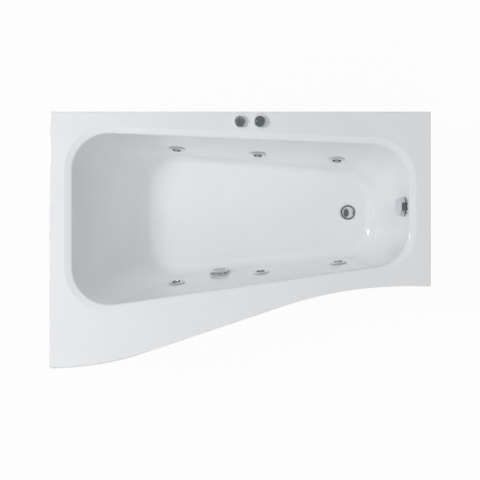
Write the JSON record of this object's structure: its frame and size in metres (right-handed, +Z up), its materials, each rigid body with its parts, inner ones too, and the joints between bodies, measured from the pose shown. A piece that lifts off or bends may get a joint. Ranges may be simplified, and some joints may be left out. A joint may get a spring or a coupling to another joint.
{
  "type": "hydromassage bath",
  "caption": "Asymmetric hydromassage bath with an S-curved front panel, bevelled rim, swivelling water jets, suction grille, pump, air controls and a drain plug worked by the overflow knob.",
  "frame": {"origin": "on the floor, under the middle of the bath", "axes": "+X from the head end to the foot end, +Y towards the wall side, +Z up"},
  "size_m": [1.5, 1.01, 0.6013],
  "materials": {
    "acrylic": "glossy white moulded acrylic",
    "board": "plain chipboard",
    "packer_rubber": "matt black",
    "frame_steel": "grey galvanised look",
    "zinc": "zinc plated",
    "panel": "glossy white sheet",
    "shelf_ply": "plain plywood",
    "motor_paint": "satin dark grey",
    "steel": "ground steel",
    "pump_plastic": "black glass-filled plastic",
    "fitting_plastic": "white fitting plastic",
    "pipe": "pale grey pipe",
    "hose": "grey flexible tube",
    "gasket": "soft black rubber",
    "chrome": "polished chrome",
    "button_face": "satin chrome"
  },
  "bodies": {
    "bath": {"air_line_back": "hose", "air_line_front": "hose", "base_board": "board", "base_packers": "packer_rubber", "bath_shell": "acrylic", "button_air_tube": "hose", "button_bellows": "gasket", "button_housing": "chrome", "drain_body": "fitting_plastic", "drain_flange": "chrome", "fixing_nuts": "fitting_plastic", "frame_back_rail": "frame_steel", "frame_cross_foot": "frame_steel", "frame_cross_head": "frame_steel", "frame_foot_tube": "frame_steel", "frame_front_rail": "frame_steel", "frame_head_tube": "frame_steel", "frame_posts": "frame_steel", "frame_pump_rail": "frame_steel", "front_panel": "panel", "jet_bodies": "fitting_plastic", "jet_rings": "chrome", "leg_nuts": "zinc", "lift_cable": "hose", "motor_bearings": "steel", "motor_housing": "motor_paint", "overflow_housing": "fitting_plastic", "overflow_pipe": "pipe", "overflow_rosette": "chrome", "panel_brackets": "zinc", "panel_screws": "zinc", "pump_shelf": "shelf_ply", "pump_volute": "pump_plastic", "regulator_housing": "chrome", "suction_body": "fitting_plastic", "suction_grille": "chrome", "suction_pipe": "pipe", "terminal_box": "pump_plastic", "wall_gaskets": "gasket", "waste_trap": "fitting_plastic", "water_feed_pipe": "pipe", "water_manifold_back": "pipe", "water_manifold_front": "pipe"},
    "air_button": {"button_cap": "button_face"},
    "air_regulator": {"regulator_knob": "chrome"},
    "overflow_control": {"overflow_knob": "chrome"},
    "plug": {"drain_plug": "chrome"},
    "pump_rotor": {"motor_shaft": "steel", "pump_impeller": "pump_plastic"},
    "nozzle_1": {"jet_ball_1": "chrome"},
    "nozzle_2": {"jet_ball_2": "chrome"},
    "nozzle_3": {"jet_ball_3": "chrome"},
    "nozzle_4": {"jet_ball_4": "chrome"},
    "nozzle_5": {"jet_ball_5": "chrome"},
    "nozzle_6": {"jet_ball_6": "chrome"},
    "levelling_foot_1": {"foot_1": "zinc"},
    "levelling_foot_2": {"foot_2": "zinc"},
    "levelling_foot_3": {"foot_3": "zinc"},
    "levelling_foot_4": {"foot_4": "zinc"},
    "levelling_foot_5": {"foot_5": "zinc"}
  },
  "joints": [
    {"name": "button_press", "type": "slide", "parent": "bath", "child": "air_button", "axis": [0, 0, -1], "range_m": [0, 0.005], "stiffness_N_per_m": 700, "springref_m": -0.002, "deforming": ["button_bellows"]},
    {"name": "regulator_turn", "type": "hinge", "parent": "bath", "child": "air_regulator", "pos_m": [0.078, 0.465, 0.58], "axis": [0, 0, 1], "range_deg": [-270, 0]},
    {"name": "overflow_turn", "type": "hinge", "parent": "bath", "child": "overflow_control", "pos_m": [0.657, 0.13312, 0.52104], "axis": [-0.9767, 0, 0.2144], "range_deg": [0, 90]},
    {"name": "plug_lift", "type": "slide", "parent": "bath", "child": "plug", "axis": [0, 0, 1], "range_m": [0, 0.012]},
    {"name": "rotor_spin", "type": "hinge", "parent": "bath", "child": "pump_rotor", "pos_m": [0, -0.2942, 0.222], "axis": [1, 0, 0], "continuous": true},
    {"name": "nozzle_tilt_1", "type": "hinge", "parent": "bath", "child": "nozzle_1", "pos_m": [-0.26525, 0.38606, 0.34846], "axis": [0.9979, -0.0655, 0], "range_deg": [-12, 12]},
    {"name": "nozzle_tilt_2", "type": "hinge", "parent": "bath", "child": "nozzle_2", "pos_m": [0.07525, 0.36351, 0.34683], "axis": [0.9979, -0.0653, 0], "range_deg": [-12, 12]},
    {"name": "nozzle_tilt_3", "type": "hinge", "parent": "bath", "child": "nozzle_3", "pos_m": [0.40675, 0.34154, 0.34526], "axis": [0.9979, -0.0652, 0], "range_deg": [-12, 12]},
    {"name": "nozzle_tilt_4", "type": "hinge", "parent": "bath", "child": "nozzle_4", "pos_m": [-0.26503, -0.18476, 0.34819], "axis": [-0.9925, -0.1221, 0], "range_deg": [-12, 12]},
    {"name": "nozzle_tilt_5", "type": "hinge", "parent": "bath", "child": "nozzle_5", "pos_m": [0.08747, -0.14114, 0.34683], "axis": [-0.9925, -0.1222, 0], "range_deg": [-12, 12]},
    {"name": "nozzle_tilt_6", "type": "hinge", "parent": "bath", "child": "nozzle_6", "pos_m": [0.41297, -0.10086, 0.34557], "axis": [-0.9925, -0.1224, 0], "range_deg": [-12, 12]},
    {"name": "foot_level_1", "type": "slide", "parent": "bath", "child": "levelling_foot_1", "axis": [0, 0, 1], "range_m": [-0.01, 0.01]},
    {"name": "foot_level_2", "type": "slide", "parent": "bath", "child": "levelling_foot_2", "axis": [0, 0, 1], "range_m": [-0.01, 0.01]},
    {"name": "foot_level_3", "type": "slide", "parent": "bath", "child": "levelling_foot_3", "axis": [0, 0, 1], "range_m": [-0.01, 0.01]},
    {"name": "foot_level_4", "type": "slide", "parent": "bath", "child": "levelling_foot_4", "axis": [0, 0, 1], "range_m": [-0.01, 0.01]},
    {"name": "foot_level_5", "type": "slide", "parent": "bath", "child": "levelling_foot_5", "axis": [0, 0, 1], "range_m": [-0.01, 0.01]}
  ],
  "couplings": [
    {"joint": "plug_lift", "follows": "overflow_turn", "m_per_rad": 0.00763}
  ]
}
